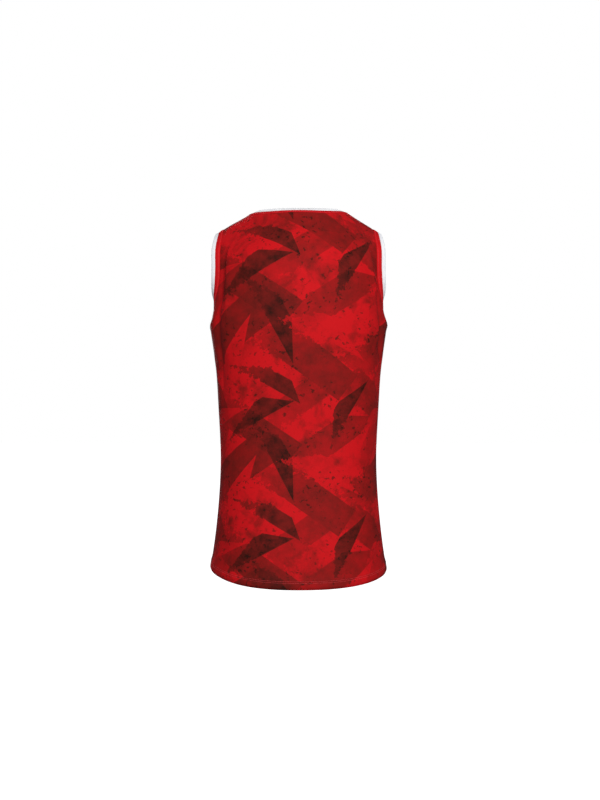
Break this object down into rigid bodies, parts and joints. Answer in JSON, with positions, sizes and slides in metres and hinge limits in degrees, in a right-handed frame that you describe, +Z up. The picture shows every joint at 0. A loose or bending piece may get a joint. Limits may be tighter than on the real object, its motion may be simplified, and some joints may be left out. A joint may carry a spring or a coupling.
{
  "type": "basketball jersey",
  "caption": "Sleeveless knit basketball jersey in its worn, hollow form, with a plain strip and a folded rib round the neck and the armholes.",
  "frame": {"origin": "midway between the two shoulders, half way along the shoulder seams' height, where the straps rest on the wearer", "axes": "+Z up the garment, -Y towards the wearer's front, +X towards the wearer's left"},
  "size_m": [0.3316, 0.254, 0.688],
  "materials": {
    "printed_knit": "smooth polyester knit, printed red with dark red and brown shapes",
    "plain_knit": "smooth polyester knit, plain bright red",
    "white_rib": "folded rib knit, white"
  },
  "bodies": {
    "root": {"back_panel": "printed_knit", "front_panel": "printed_knit", "neck_strip": "plain_knit", "neck_rib": "white_rib", "left_armhole_strip": "plain_knit", "left_armhole_rib": "white_rib", "right_armhole_strip": "plain_knit", "right_armhole_rib": "white_rib"}
  },
  "joints": []
}
